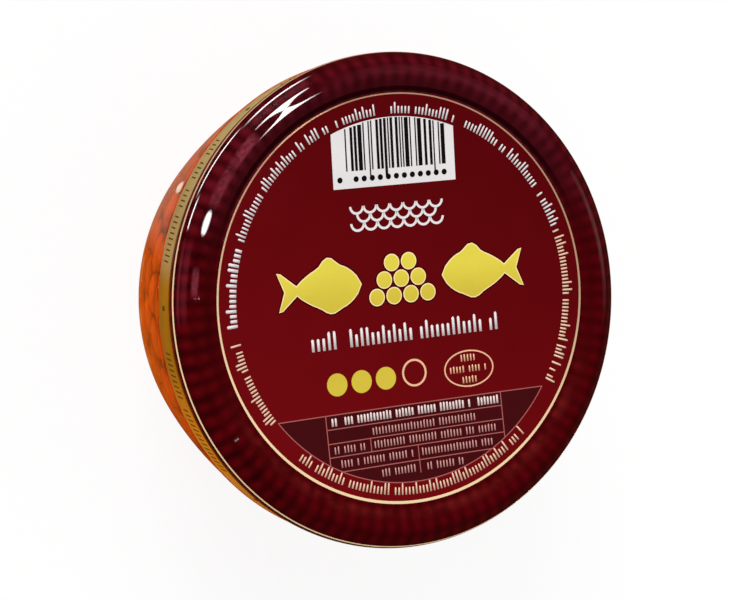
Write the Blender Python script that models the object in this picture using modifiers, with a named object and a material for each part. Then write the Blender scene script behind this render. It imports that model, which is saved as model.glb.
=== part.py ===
"""A shut jar of salmon roe: a squat glass that tapers to its foot, a pressed metal
lid, a gold band and the heap of roe that fills the glass.

The jar stands on its base. The origin is the centre of the base, +Z runs up the
jar's axis, and the print on the lid reads with +Y up. Sizes are in metres.
"""

import math
import random

import bmesh
import bpy
from mathutils import Matrix, Vector

MM = 0.001

# Whole jar
HEIGHT = 40.0 * MM
SEGMENTS = 60
GAP = 0.3 * MM

# Lid: heights are measured from the panel's edge, which lies below the crest
CREST_RISE = 1.2 * MM
PANEL_EDGE = HEIGHT - CREST_RISE
PANEL_RADIUS = 35.9 * MM
PANEL_DISH = 1.5 * MM
CREST_RADIUS = 39.2 * MM
CREST_HALF_WIDTH = 1.15 * MM
CREST_INNER_FALL = 0.25 * MM
CREST_OUTER_FALL = 0.35 * MM
LID_RADIUS = 42.65 * MM
SHOULDER_ROUND = 2.2 * MM
SHOULDER_DROP = 2.1 * MM
LID_METAL = 0.5 * MM
SHOULDER_START = 56.0
HEM_ANGLE = -58.0

# Glass: the wall tapers towards the foot with a slight swell, and the inside follows it
WALL_TOP = 29.5 * MM
WALL_TOP_RADIUS = 41.9 * MM
WALL_GROUND_RADIUS = 34.5 * MM
WALL_SWELL = 0.6 * MM
GLASS_WALL = 2.4 * MM
NECK_RADIUS = 41.15 * MM
BAND_SEAT_RADIUS = 41.4 * MM
BAND_SEAT_TOP = 34.7 * MM
BEAD_TOP = 30.1 * MM
BEAD_HEIGHT = 1.6 * MM
BEAD_SWELL = 0.15 * MM
BEAD_REACH = 0.6 * MM
RIM_TOP = 38.7 * MM
RIM_ROUND = 1.1 * MM
MOUTH_RADIUS = 38.2 * MM
FLOOR_LEVEL = 3.8 * MM
FLOOR_RADIUS = 26.5 * MM
FLOOR_CORNER = 6.0 * MM
FOOT_OUTER = 28.5 * MM
FOOT_INNER = 25.5 * MM
HEEL_LEVEL = 6.6 * MM
PUSH_UP = 1.0 * MM

# Gold band round the glass under the lid
BAND_TOP = 34.5 * MM
BAND_BOTTOM = 30.4 * MM
BAND_RADIUS = 42.05 * MM
BAND_PAPER = 0.35 * MM

# Roe: whole eggs fused to a core that stays inside them
EGG_RADIUS = 3.3 * MM
EGG_SPREAD = 0.25 * MM
EGG_SPACING = 9.3 * MM
EGG_GAP = 0.4 * MM
EGG_JITTER = 0.1
ROE_TOP = 35.2 * MM
ROE_TOP_RADIUS = 38.9 * MM
ROE_SEED = 11
CORE_INSET = 3.2 * MM
CORE_SEGMENTS = 24


def clear_scene():
    """Remove every object, so that the script can be run again."""
    for thing in list(bpy.data.objects):
        bpy.data.objects.remove(thing, do_unlink=True)


def collection(name):
    """Make a collection in the scene."""
    made = bpy.data.collections.new(name)
    bpy.context.scene.collection.children.link(made)
    return made


def material(name, colour, roughness, metallic=0.0, transmission=0.0):
    """Make a plain Principled material."""
    made = bpy.data.materials.new(name)
    made.use_nodes = True
    shader = made.node_tree.nodes["Principled BSDF"]
    shader.inputs["Base Color"].default_value = (*colour, 1.0)
    shader.inputs["Roughness"].default_value = roughness
    shader.inputs["Metallic"].default_value = metallic
    shader.inputs["Transmission Weight"].default_value = transmission
    made.diffuse_color = (*colour, 1.0)
    return made


def arc(centre_r, centre_z, radius, start, end, steps):
    """Points on an arc, with angles in degrees counted from outwards."""
    points = []
    for step in range(steps + 1):
        angle = math.radians(start + (end - start) * step / steps)
        points.append((centre_r + radius * math.cos(angle), centre_z + radius * math.sin(angle)))
    return points


def rounded(start, corner, end, steps):
    """Points on the curve that rounds a corner between two points."""
    points = []
    for step in range(steps + 1):
        t = step / steps
        weights = ((1 - t) ** 2, 2 * t * (1 - t), t ** 2)
        points.append(tuple(sum(w * p[axis] for w, p in zip(weights, (start, corner, end)))
                            for axis in (0, 1)))
    return points


def turned(name, profile, target, finish, closed=False, thickness=0.0):
    """Turn a profile of (radius, height) points round the Z axis."""
    mesh = bpy.data.meshes.new(name)
    edges = [(i, i + 1) for i in range(len(profile) - 1)]
    if closed:
        edges.append((len(profile) - 1, 0))
    mesh.from_pydata([(r, 0.0, z) for r, z in profile], edges, [])
    made = bpy.data.objects.new(name, mesh)
    target.objects.link(made)
    mesh.materials.append(finish)
    screw = made.modifiers.new("Turn", "SCREW")
    screw.axis = "Z"
    screw.angle = math.tau
    screw.steps = screw.render_steps = SEGMENTS
    screw.use_merge_vertices = True
    screw.merge_threshold = 0.01 * MM
    screw.use_smooth_shade = True
    if thickness:
        shell = made.modifiers.new("Metal", "SOLIDIFY")
        shell.thickness = thickness
        shell.offset = -1.0
    return made


def lid_profile():
    """The lid's upper skin, from the middle of the panel out to the hem."""
    points = []
    rings = 4
    for ring in range(rings):
        r = PANEL_RADIUS * ring / rings
        points.append((r, PANEL_EDGE - PANEL_DISH * (1 - (r / PANEL_RADIUS) ** 2)))
    points.append((PANEL_RADIUS, PANEL_EDGE))
    crest = (CREST_RADIUS, HEIGHT)
    inner_side = (CREST_RADIUS - CREST_HALF_WIDTH, HEIGHT - CREST_INNER_FALL)
    outer_side = (CREST_RADIUS + CREST_HALF_WIDTH, HEIGHT - CREST_OUTER_FALL)
    points += rounded(inner_side, (CREST_RADIUS - CREST_HALF_WIDTH / 2, HEIGHT), crest, 2)
    points += rounded(crest, (CREST_RADIUS + CREST_HALF_WIDTH / 2, HEIGHT), outer_side, 2)[1:]
    points += arc(LID_RADIUS - SHOULDER_ROUND, PANEL_EDGE - SHOULDER_DROP, SHOULDER_ROUND,
                  SHOULDER_START, HEM_ANGLE, 6)
    return points


def wall_radius(level, inset=0.0):
    """Radius of the wall's outside at a height, less an inset."""
    share = level / WALL_TOP
    straight = WALL_GROUND_RADIUS + (WALL_TOP_RADIUS - WALL_GROUND_RADIUS) * share
    return straight + 4 * WALL_SWELL * share * (1 - share) - inset


def inner_wall():
    """The inside of the glass, from the middle of the floor up to the mouth."""
    steps = 5
    corner_top = FLOOR_LEVEL + FLOOR_CORNER
    points = [(0.0, FLOOR_LEVEL)]
    points += rounded((FLOOR_RADIUS, FLOOR_LEVEL), (wall_radius(FLOOR_LEVEL, GLASS_WALL), FLOOR_LEVEL),
                      (wall_radius(corner_top, GLASS_WALL), corner_top), 4)
    for step in range(1, steps + 1):
        z = corner_top + (BEAD_TOP - corner_top) * step / steps
        points.append((wall_radius(z, GLASS_WALL), z))
    return points


def glass_profile():
    """The jar's section: up the inside, over the rim, down the outside, to the axis."""
    points = inner_wall()
    points.append((MOUTH_RADIUS, RIM_TOP - 3 * RIM_ROUND))
    points += arc(MOUTH_RADIUS + RIM_ROUND, RIM_TOP - RIM_ROUND, RIM_ROUND, 180.0, 90.0, 2)
    points += arc(NECK_RADIUS - RIM_ROUND, RIM_TOP - RIM_ROUND, RIM_ROUND, 90.0, 0.0, 2)
    points.append((NECK_RADIUS, BAND_SEAT_TOP + GAP))
    points.append((BAND_SEAT_RADIUS, BAND_SEAT_TOP))
    points.append((BAND_SEAT_RADIUS, BEAD_TOP))
    top = BEAD_TOP - BEAD_HEIGHT
    points += rounded((BAND_SEAT_RADIUS + BEAD_SWELL, BEAD_TOP - BEAD_SWELL),
                      (WALL_TOP_RADIUS + BEAD_REACH, BEAD_TOP - 2 * BEAD_SWELL),
                      (wall_radius(top), top), 2)
    wall_steps = 4
    for step in range(1, wall_steps + 1):
        z = top + (HEEL_LEVEL - top) * step / wall_steps
        points.append((wall_radius(z), z))
    heel = (wall_radius(HEEL_LEVEL), HEEL_LEVEL)
    above = wall_radius(2 * HEEL_LEVEL)
    points += rounded(heel, (2 * heel[0] - above, 0.0), (FOOT_OUTER, 0.0), 4)[1:]
    points.append((FOOT_INNER, 0.0))
    points.append((FOOT_INNER - 2 * PUSH_UP, PUSH_UP))
    points.append((0.0, PUSH_UP * 1.2))
    return points


def wall_at(travel):
    """A point and its inward normal, at a distance down the inside from the roe's top."""
    points = list(reversed(inner_wall()))
    points.insert(0, (ROE_TOP_RADIUS, ROE_TOP))
    for above, below in zip(points, points[1:]):
        step = math.dist(above, below)
        if travel <= step:
            t = travel / step
            along = Vector(((below[0] - above[0]) / step, (below[1] - above[1]) / step))
            place = (above[0] + t * (below[0] - above[0]), above[1] + t * (below[1] - above[1]))
            return place, (along.y, -along.x)
        travel -= step
    return None


def egg_places():
    """Centres and radii of the eggs that lie against the glass, from the top row down."""
    draw = random.Random(ROE_SEED)
    places = []
    travel = EGG_RADIUS + EGG_SPREAD
    row = 0
    row_step = EGG_SPACING * math.sqrt(3) / 2
    while wall_at(travel) is not None:
        (wall_r, wall_z), (in_r, in_z) = wall_at(travel)
        ring_radius = wall_r + in_r * (EGG_RADIUS + EGG_GAP)
        if ring_radius < EGG_RADIUS:
            break
        count = max(1, int(math.tau * ring_radius / EGG_SPACING))
        for number in range(count):
            radius = EGG_RADIUS + draw.uniform(-EGG_SPREAD, EGG_SPREAD)
            place = number + 0.5 * (row % 2) + draw.uniform(-EGG_JITTER, EGG_JITTER)
            angle = math.tau * place / count
            r = wall_r + in_r * (radius + EGG_GAP)
            z = wall_z + in_z * (radius + EGG_GAP)
            places.append((Vector((r * math.cos(angle), r * math.sin(angle), z)), radius))
        travel += row_step
        row += 1
    return places


def core_profile():
    """The core's section, an even step inside the glass."""
    top = ROE_TOP - EGG_RADIUS
    floor = FLOOR_LEVEL + CORE_INSET
    steps = 4
    points = [(0.0, top)]
    for step in range(steps + 1):
        z = top + (floor - top) * step / steps
        points.append((wall_radius(z, GLASS_WALL + CORE_INSET), z))
    points.append((0.0, floor))
    return points


def roe(target, finish):
    """Fuse the eggs to a turned core in one union."""
    core = turned("roe", core_profile(), target, finish)
    core.modifiers["Turn"].steps = core.modifiers["Turn"].render_steps = CORE_SEGMENTS
    eggs = collection("eggs")
    for number, (place, radius) in enumerate(egg_places()):
        mesh = bpy.data.meshes.new("egg")
        shape = bmesh.new()
        bmesh.ops.create_uvsphere(shape, u_segments=6, v_segments=4, radius=radius)
        outwards = place - Vector((0.0, 0.0, ROE_TOP))
        turn = outwards.to_track_quat("Z", "Y").to_matrix().to_4x4()
        bmesh.ops.transform(shape, matrix=turn, verts=shape.verts)
        shape.to_mesh(mesh)
        shape.free()
        egg = bpy.data.objects.new(f"egg_{number}", mesh)
        egg.matrix_world = Matrix.Translation(place)
        eggs.objects.link(egg)
    union = core.modifiers.new("Eggs", "BOOLEAN")
    union.operation = "UNION"
    union.operand_type = "COLLECTION"
    union.collection = eggs
    bpy.context.view_layer.update()
    fused = bpy.data.meshes.new_from_object(core.evaluated_get(bpy.context.evaluated_depsgraph_get()))
    core.modifiers.clear()
    core.data = fused
    for egg in list(eggs.objects):
        bpy.data.objects.remove(egg, do_unlink=True)
    bpy.data.collections.remove(eggs)
    return core


def band_profile():
    """The gold band's section, a thin strip that stands round the glass."""
    inner = BAND_RADIUS - BAND_PAPER
    return [(inner, BAND_TOP), (BAND_RADIUS, BAND_TOP),
            (BAND_RADIUS, BAND_BOTTOM), (inner, BAND_BOTTOM)]


def main():
    """Make the four pieces, each in its own material."""
    clear_scene()
    jar = collection("salmon_roe_jar")
    enamel = material("lid_enamel", (0.13, 0.004, 0.010), 0.22, metallic=0.2)
    glass = material("clear_glass", (0.95, 0.97, 0.96), 0.03, transmission=1.0)
    gold = material("gold_paper", (0.50, 0.34, 0.06), 0.45, metallic=0.3)
    orange = material("roe_orange", (0.72, 0.13, 0.01), 0.2)
    turned("lid", lid_profile(), jar, enamel, thickness=LID_METAL)
    turned("glass_jar", glass_profile(), jar, glass)
    turned("gold_band", band_profile(), jar, gold, closed=True)
    roe(jar, orange)


main()
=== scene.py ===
"""The looks of a shut jar of salmon roe: a squat clear glass bowl full of roe under a wide
pressed metal lid, with a narrow gold paper band round the glass.

+Z runs up the jar's axis, the origin is the centre of the base, and the print on the lid reads
with +Y up. Shapes are drawn in millimetres, and each finished mesh is brought to metres.
"""

import math
import random

import bmesh
import bpy
import numpy as np
from bpy.props import FloatProperty, FloatVectorProperty, IntProperty, PointerProperty
from mathutils import Matrix, Quaternion, Vector


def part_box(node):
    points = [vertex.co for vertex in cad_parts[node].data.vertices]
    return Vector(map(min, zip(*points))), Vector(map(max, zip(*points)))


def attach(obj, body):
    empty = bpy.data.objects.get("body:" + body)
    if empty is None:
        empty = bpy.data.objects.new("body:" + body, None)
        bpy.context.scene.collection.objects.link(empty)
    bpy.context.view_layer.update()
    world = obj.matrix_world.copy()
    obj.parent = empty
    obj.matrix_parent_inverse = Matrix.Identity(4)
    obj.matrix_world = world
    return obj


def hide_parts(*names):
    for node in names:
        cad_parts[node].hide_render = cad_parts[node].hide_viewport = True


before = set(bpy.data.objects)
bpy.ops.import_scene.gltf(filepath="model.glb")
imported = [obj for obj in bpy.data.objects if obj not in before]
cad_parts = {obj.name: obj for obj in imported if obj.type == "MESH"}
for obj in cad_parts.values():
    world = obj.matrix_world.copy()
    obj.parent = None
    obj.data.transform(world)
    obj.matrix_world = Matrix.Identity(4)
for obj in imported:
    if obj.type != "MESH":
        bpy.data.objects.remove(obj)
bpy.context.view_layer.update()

bl_info = {
    "name": "Salmon roe jar",
    "version": (1, 0, 0),
    "blender": (4, 5, 0),
    "location": "3D View > Sidebar > Roe jar",
    "description": "Builds the lid, its print, the glass, the gold band and the roe of a shut jar",
    "category": "Object",
}

MM = 0.001
BODY = "root"

# Sizes read from the frame, in mm as all the sizes below
LID_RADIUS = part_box("lid")[1].x / MM
LID_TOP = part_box("lid")[1].z / MM
BAND_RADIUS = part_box("gold_band")[1].x / MM
BAND_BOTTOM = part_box("gold_band")[0].z / MM
BAND_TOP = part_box("gold_band")[1].z / MM
GLASS_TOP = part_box("glass_jar")[1].z / MM

# Lid section: the panel's edge is the level that the other heights are counted from
PANEL_EDGE = LID_TOP - 1.2
PANEL_RADIUS = 35.9
PANEL_DISH = 1.5
PANEL_STEP = 1.4
CREST_RADIUS = 39.2
CREST_HALF_WIDTH = 1.15
CREST_INNER_FALL = 0.25
CREST_OUTER_FALL = 0.35
SHOULDER_ROUND = 2.2
SHOULDER_DROP = 2.1
SHOULDER_START = 56.0
HEM_ANGLE = -58.0
LID_METAL = 0.35
LID_SEGMENTS = 240
SKIN_STEP = 0.2
SKIN_SOFTNESS = 0.22

# Glass section: the wall tapers to the foot with a slight swell, and the inside follows it
WALL_TOP = 29.5
WALL_TOP_RADIUS = 41.9
WALL_GROUND_RADIUS = 34.5
WALL_SWELL = 0.6
WALL_STEPS = 22
GLASS_WALL = 2.4
NECK_RADIUS = 41.15
BAND_SEAT_RADIUS = 41.65
BAND_SEAT_TOP = 34.7
BEAD_TOP = 30.1
BEAD_HEIGHT = 1.6
BEAD_REACH = 0.3
BEAD_DROP = 0.7
RIM_ROUND = 1.1
MOUTH_RADIUS = 38.2
FLOOR_LEVEL = 3.8
FLOOR_RADIUS = 26.5
FLOOR_CORNER = 6.0
FOOT_OUTER = 28.5
FOOT_INNER = 25.5
HEEL_LEVEL = 6.6
PUSH_UP = 1.0
GLASS_SEGMENTS = 192

# Roe: how high it fills the glass, and how its layers lie behind the wall, in egg radii
FILL_LEVEL = 35.2
WALL_REACH = 0.03
EGG_PITCH = 2.02
EGG_LAYER = 1.66
EGG_CLOSENESS = 0.96
PATH_STEP = 0.2

# Print on the lid: it sits a little off the pressed form, towards +Y
PRINT_SHIFT = 0.45
INK_LIFT = 0.022
INK_SINK = 0.02
GRID_PITCH = 3.0
CIRCLE_RADIUS = 35.0
CIRCLE_WIDTH = 0.36
HAIRLINE_FROM_EDGE = 7.65
HAIRLINE_WIDTH = 0.3
MARKS_FOOT = 31.6
SHARE_TALL = 0.35

# Marks on the band: how many groups go round, and where a dot between two of them stands
BAND_PHRASES = 7
BAND_DOT_TURN = 176.0

# Camera, fitted to the printed circle: it looks down on the lid from the print's left
CAMERA_LENS = 100.0
CAMERA_SENSOR = 36.0
CAMERA_TILT = 28.07
CAMERA_TURN = 171.47
CAMERA_DISTANCE = 356.3
CAMERA_ROLL = 93.18
CAMERA_AIM = (-6.12, 0.34, 0.0)

# Light from one side: where it comes from, and how wide it is, in degrees
WINDOW_TURN = 105.0
WINDOW_RISE = 35.0
WINDOW_SIZE = 30.0

# A bright spot on the table, which the glass mirrors under the band
TABLE_SPOT = (-30.8, 26.2)


def srgb(red, green, blue):
    """A linear colour from screen values of 0 to 255."""
    shares = (value / 255.0 for value in (red, green, blue))
    return tuple(v / 12.92 if v <= 0.04045 else ((v + 0.055) / 1.055) ** 2.4 for v in shares)


# Colours and gloss
WHITE = (1.0, 1.0, 1.0)
PANEL_GLOSS = 0.08
CHECK_BARS = 96
CHECK_BAND = 3.0
CHECK_START = 2.0
# Painted light on the panel: lighter towards the print's lower left, darker towards its upper right
PANEL_PAINTED_LIT = srgb(106, 10, 15)
PANEL_PAINTED_SHADE = srgb(84, 6, 10)
PANEL_FADE = (0.52, 0.85)
PANEL_FADE_REACH = 45.0
RIM_RED = srgb(86, 3, 10)
RIM_DARK = srgb(34, 0, 2)
# Painted sheen: a plum cast on the rim at the print's head
RIM_PAINTED_PLUM_SHEEN = srgb(88, 22, 34)
# Painted shade in the groove at the print's head
GROOVE_PAINTED_SHADE = srgb(20, 0, 2)
# Painted light: a lighter inner edge beside the panel at the print's foot
GROOVE_PAINTED_LIGHT = srgb(119, 26, 25)
INK_WHITE = srgb(226, 222, 222)
INK_GOLD = srgb(222, 206, 74)
INK_DEEP_GOLD = srgb(206, 184, 62)
INK_CREAM = srgb(250, 222, 160)
# Painted light on the fine gold lines: duller towards the print's head, paler towards its foot
LINE_GOLD = srgb(187, 150, 119)
LINE_PAINTED_PALE = srgb(255, 225, 176)
# Painted reflection: a pale olive cast on the band towards the print's head
BAND_OLIVE_REFLECTION = srgb(158, 135, 84)
BAND_AMBER = srgb(160, 104, 0)
BAND_YELLOW = srgb(204, 126, 2)
ROE_ORANGE = srgb(222, 88, 2)
ROE_DEEP = srgb(210, 62, 1)
ROE_OIL = srgb(150, 12, 0)
ROE_VEIL = srgb(246, 128, 18)
GLASS_TINT = (0.98, 0.985, 0.98)
JUICE_TINT = (0.97, 0.82, 0.48)
ROOM_TINT = (1.0, 0.5, 0.3)
TABLE_ORANGE = (0.5, 0.13, 0.01)
TABLE_PEACH = (0.42, 0.25, 0.15)
TABLE_CREAM = (1.0, 0.8, 0.6)
TABLE_DARK = (0.03, 0.015, 0.008)


# Node trees


class Value:
    """A node's result, which sums and products are written with."""

    def __init__(self, nodes, socket):
        self.nodes = nodes
        self.socket = socket

    def __getitem__(self, name):
        """Another result of the same node."""
        return Value(self.nodes, self.socket.node.outputs[name])

    def __add__(self, other):
        return self.nodes.math("ADD", self, other)

    def __sub__(self, other):
        return self.nodes.math("SUBTRACT", self, other)

    def __rsub__(self, other):
        return self.nodes.math("SUBTRACT", other, self)

    def __mul__(self, other):
        return self.nodes.math("MULTIPLY", self, other)

    def __truediv__(self, other):
        return self.nodes.math("DIVIDE", self, other)

    __radd__ = __add__
    __rmul__ = __mul__


class Nodes:
    """Short calls that add nodes to one tree and join them."""

    def __init__(self, tree):
        self.tree = tree

    def add(self, kind, *numbered, settings=None, output=0, **named):
        """Add a node and give one of its results; its inputs are given in order or by name."""
        made = self.tree.nodes.new(kind)
        for name, value in (settings or {}).items():
            setattr(made, name, value)
        for number, value in enumerate(numbered):
            self.feed(made.inputs[number], value)
        for name, value in named.items():
            self.feed(made.inputs[name.replace("_", " ")], value)
        return Value(self, made.outputs[output]) if made.outputs else None

    def feed(self, socket, value):
        """Join a result to an input, or set the input to a constant; colours get full alpha."""
        if isinstance(value, Value):
            self.tree.links.new(value.socket, socket)
        else:
            socket.default_value = (*value, 1.0) if socket.type == "RGBA" else value

    def math(self, operation, *values):
        """One Math node's result."""
        return self.add("ShaderNodeMath", *values, settings={"operation": operation})

    def vector(self, operation, *values):
        """One Vector Math node's first result."""
        return self.add("ShaderNodeVectorMath", *values, settings={"operation": operation})

    def larger(self, first, second):
        """The larger of two values."""
        return self.math("MAXIMUM", first, second)

    def length(self, x, y):
        """How long a flat vector is."""
        return self.math("SQRT", x * x + y * y)

    def mix(self, share, first, second):
        """A mix of two colours."""
        made = self.tree.nodes.new("ShaderNodeMix")
        made.data_type = "RGBA"
        for number, value in ((0, share), (6, first), (7, second)):
            self.feed(made.inputs[number], value)
        return Value(self, made.outputs[2])

    def step(self, value, low, high, to_low=0.0, to_high=1.0):
        """A smooth step of a value between two limits."""
        return self.add("ShaderNodeMapRange", value, low, high, to_low, to_high,
                        settings={"interpolation_type": "SMOOTHSTEP"})

    def noise(self, place, scale, detail=2.0, roughness=0.5):
        """A noise value about 0.5."""
        return self.add("ShaderNodeTexNoise", Vector=place, Scale=scale, Detail=detail,
                        Roughness=roughness)

    def place(self):
        """The object coordinates."""
        return self.add("ShaderNodeTexCoord")["Object"]

    def flat(self, place):
        """The X and Y of a place, in mm."""
        split = self.add("ShaderNodeSeparateXYZ", place)
        return split["X"] / MM, split["Y"] / MM

    def attribute(self, name, output="Fac"):
        """A mesh attribute."""
        return self.add("ShaderNodeAttribute", settings={"attribute_name": name}, output=output)

    def group(self, build, **values):
        """A shader group's results."""
        return self.add("ShaderNodeGroup", settings={"node_tree": once(build)}, **values)

    def put_out(self, geometry, skin):
        """End a Geometry Nodes tree with plain geometry and its material."""
        real = self.add("GeometryNodeRealizeInstances", geometry)
        self.add("NodeGroupOutput",
                 self.add("GeometryNodeSetMaterial", Geometry=real, Material=skin))


class Finish(Nodes):
    """A Principled material and its nodes; values set the shader's own sockets."""

    def __init__(self, name, **values):
        self.material = bpy.data.materials.new(name)
        self.material.use_nodes = True
        super().__init__(self.material.node_tree)
        self.shader = self.tree.nodes["Principled BSDF"]
        self.set(**values)

    def set(self, **values):
        """Feed the shader's sockets by name."""
        for name, value in values.items():
            self.feed(self.shader.inputs[name.replace("_", " ")], value)

    def skin(self, height, depth, strength=1.0):
        """The normal of a skin with a fine relief, so many mm deep."""
        return self.add("ShaderNodeBump", Strength=strength, Distance=depth * MM, Height=height)

    def lacquer(self, place, colour, roughness, patchiness, speckle, smears, depth):
        """Give the shader ink grain, smears and a fine skin."""
        grain = self.group(print_grain, Place=place, Colour=colour, Patchiness=patchiness,
                           Speckle=speckle)
        gloss = self.group(handled_gloss, Place=place, Roughness=roughness, Smears=smears)
        self.set(Base_Color=grain, Roughness=gloss, Normal=self.skin(grain["Height"], depth))

    def share_with(self, share, other):
        """Let another shader take a share of the surface."""
        own = Value(self, self.shader.outputs[0])
        both = self.add("ShaderNodeMixShader", share, own, other)
        self.feed(self.tree.nodes["Material Output"].inputs["Surface"], both)

    def let_light_through(self, tint):
        """Let light rays pass straight through a clear body, so that what is in it is lit."""
        path = self.add("ShaderNodeLightPath")
        passing = self.larger(path["Is Shadow Ray"], path["Is Diffuse Ray"])
        self.share_with(passing, self.add("ShaderNodeBsdfTransparent", tint))


def once(build):
    """The node group that a function of the same name builds, made once."""
    return bpy.data.node_groups.get(build.__name__) or build()


def new_tree(name, kind, inputs, outputs):
    """An empty node group with named sockets: its nodes, and what it is given."""
    tree = bpy.data.node_groups.new(name, kind + "NodeTree")
    for way, sockets in (("INPUT", inputs), ("OUTPUT", outputs)):
        for label, socket in sockets.items():
            tree.interface.new_socket(name=label, in_out=way, socket_type="NodeSocket" + socket)
    nodes = Nodes(tree)
    return nodes, nodes.add("NodeGroupInput")


def print_grain():
    """Colour that varies as printed ink does, and the height of its fine orange-peel skin."""
    nodes, given = new_tree(
        "print_grain", "Shader",
        {"Place": "Vector", "Colour": "Color", "Patchiness": "Float", "Speckle": "Float"},
        {"Colour": "Color", "Height": "Float"})
    place = given["Place"]
    patches = (nodes.noise(place, 130.0, 3.0) - 0.5) * given["Patchiness"]
    speckle = (nodes.noise(place, 5200.0, 1.0) - 0.5) * given["Speckle"]
    nodes.add("NodeGroupOutput", nodes.vector("MULTIPLY", given["Colour"], patches + speckle + 1.0),
              nodes.noise(place, 900.0))
    return nodes.tree


def handled_gloss():
    """Roughness that varies with faint smears, as on a pack that has been handled."""
    nodes, given = new_tree(
        "handled_gloss", "Shader", {"Place": "Vector", "Roughness": "Float", "Smears": "Float"},
        {"Roughness": "Float"})
    marks = nodes.step(nodes.noise(given["Place"], 60.0, 4.0, 0.6), 0.48, 0.72)
    fine = nodes.noise(given["Place"], 1500.0) * 0.3
    nodes.add("NodeGroupOutput", given["Roughness"] + (marks + fine) * given["Smears"])
    return nodes.tree


def ink(name, colour, roughness=0.35, second=None, metallic=0.0, fade=(-1.0, 7.0), lean=0.0):
    """A printed ink under thin lacquer, made once; a second colour gives a gradient down the
    print, between two heights on it, on a line that leans to the right by so many degrees."""
    known = bpy.data.materials.get(name)
    if known:
        return known
    made = Finish(name, Coat_Weight=PANEL_GLOSS, Coat_Roughness=0.05, Metallic=metallic,
                  Specular_IOR_Level=0.0)
    place = made.place()
    if second is not None:
        x, y = made.flat(place)
        height = x * math.sin(math.radians(lean)) + y * math.cos(math.radians(lean))
        colour = made.mix(made.step(height, *fade), second, colour)
    made.lacquer(place, colour, roughness, 0.16, 0.1, 0.08, 0.002)
    return made.material


# Shapes


def link(made):
    """Put an object in the scene."""
    bpy.context.scene.collection.objects.link(made)
    return made


def piece(mesh, finish, replaces=(), sharp=None):
    """A finished piece of the jar from a mesh drawn in mm, riding on its body; edges past an
    angle in degrees may stay sharp."""
    mesh.transform(Matrix.Scale(MM, 4))
    mesh.materials.clear()
    mesh.materials.append(finish)
    mesh.shade_smooth()
    if sharp:
        mesh.set_sharp_from_angle(angle=math.radians(sharp))
    made = link(bpy.data.objects.new(mesh.name, mesh))
    if replaces:
        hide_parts(*replaces)
    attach(made, BODY)


def round_axis(r, angle, z):
    """Points from their radius, angle and height."""
    return np.stack([r * np.cos(angle), r * np.sin(angle), z], axis=-1)


def section(co):
    """Points' places in the section, as radius and height, and their angles round the axis."""
    flat = np.stack([np.hypot(co[:, 0], co[:, 1]), co[:, 2]], axis=1)
    return flat, np.arctan2(co[:, 1], co[:, 0])


def arc(x, y, radius, start, end, steps):
    """Points on an arc, with angles in degrees counted from outwards."""
    angles = [math.radians(start + (end - start) * step / steps) for step in range(steps + 1)]
    return [(x + radius * math.cos(angle), y + radius * math.sin(angle)) for angle in angles]


def rounded(start, corner, end, steps):
    """Points on the curve that rounds a corner between two points."""
    points = []
    for step in range(steps + 1):
        t = step / steps
        weights = ((1 - t) ** 2, 2 * t * (1 - t), t ** 2)
        points.append(tuple(sum(w * p[axis] for w, p in zip(weights, (start, corner, end)))
                            for axis in (0, 1)))
    return points


def travel_along(path):
    """How far along a polyline each of its points lies."""
    return np.concatenate([[0.0], np.cumsum(np.hypot(*np.diff(path, axis=0).T))])


def evenly(points, step):
    """A polyline's points again, an even step apart."""
    path = np.array(points)
    travel = travel_along(path)
    places = np.linspace(0.0, travel[-1], max(2, round(travel[-1] / step) + 1))
    return np.stack([np.interp(places, travel, path[:, axis]) for axis in (0, 1)], axis=1)


def softened(points, step, width):
    """A polyline with its corners rounded by a running average."""
    path = evenly(points, step)
    reach = math.ceil(3 * width / step)
    weights = np.exp(-0.5 * (np.arange(-reach, reach + 1) * step / width) ** 2)
    weights /= weights.sum()
    ends = [2 * path[0] - path[reach:0:-1], path, 2 * path[-1] - path[-2:-reach - 2:-1]]
    padded = np.concatenate(ends)
    return np.stack([np.convolve(padded[:, axis], weights, "valid") for axis in (0, 1)], axis=1)


def outwards(name, shape):
    """A bmesh of closed bodies as a mesh, with its faces pointing outwards."""
    bmesh.ops.recalc_face_normals(shape, faces=shape.faces)
    mesh = bpy.data.meshes.new(name)
    shape.to_mesh(mesh)
    shape.free()
    return mesh


def closed_mesh(name, verts, faces, along=None):
    """A closed mesh from its points and faces, and the distance along the skin at each point."""
    rough = bpy.data.meshes.new(name)
    rough.from_pydata(verts, [], faces)
    if along is not None:
        rough.attributes.new("along", "FLOAT", "POINT").data.foreach_set("value", along)
    shape = bmesh.new()
    shape.from_mesh(rough)
    bpy.data.meshes.remove(rough)
    return outwards(name, shape)


def turned(name, profile, segments, closed=False, along=None):
    """Turn a section of (radius, height) points round the Z axis; a point on the axis is a pole."""
    angles = np.linspace(0.0, math.tau, segments, endpoint=False)
    verts, rings, marks, faces = [], [], [], []
    for number, (r, z) in enumerate(profile):
        turns = angles if r > 0.001 else angles[:1]
        rings.append([len(verts) + k % len(turns) for k in range(segments)])
        verts += [(r * math.cos(a), r * math.sin(a), z) for a in turns]
        marks += [along[number] if along else 0.0] * len(turns)
    pairs = list(zip(rings, rings[1:] + rings[:1]))
    for inner, outer in pairs if closed else pairs[:-1]:
        for k in range(segments):
            after = (k + 1) % segments
            loop = (inner[k], outer[k], outer[after], inner[after])
            faces.append(tuple(dict.fromkeys(loop)))
    return closed_mesh(name, verts, faces, marks if along else None)


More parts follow.
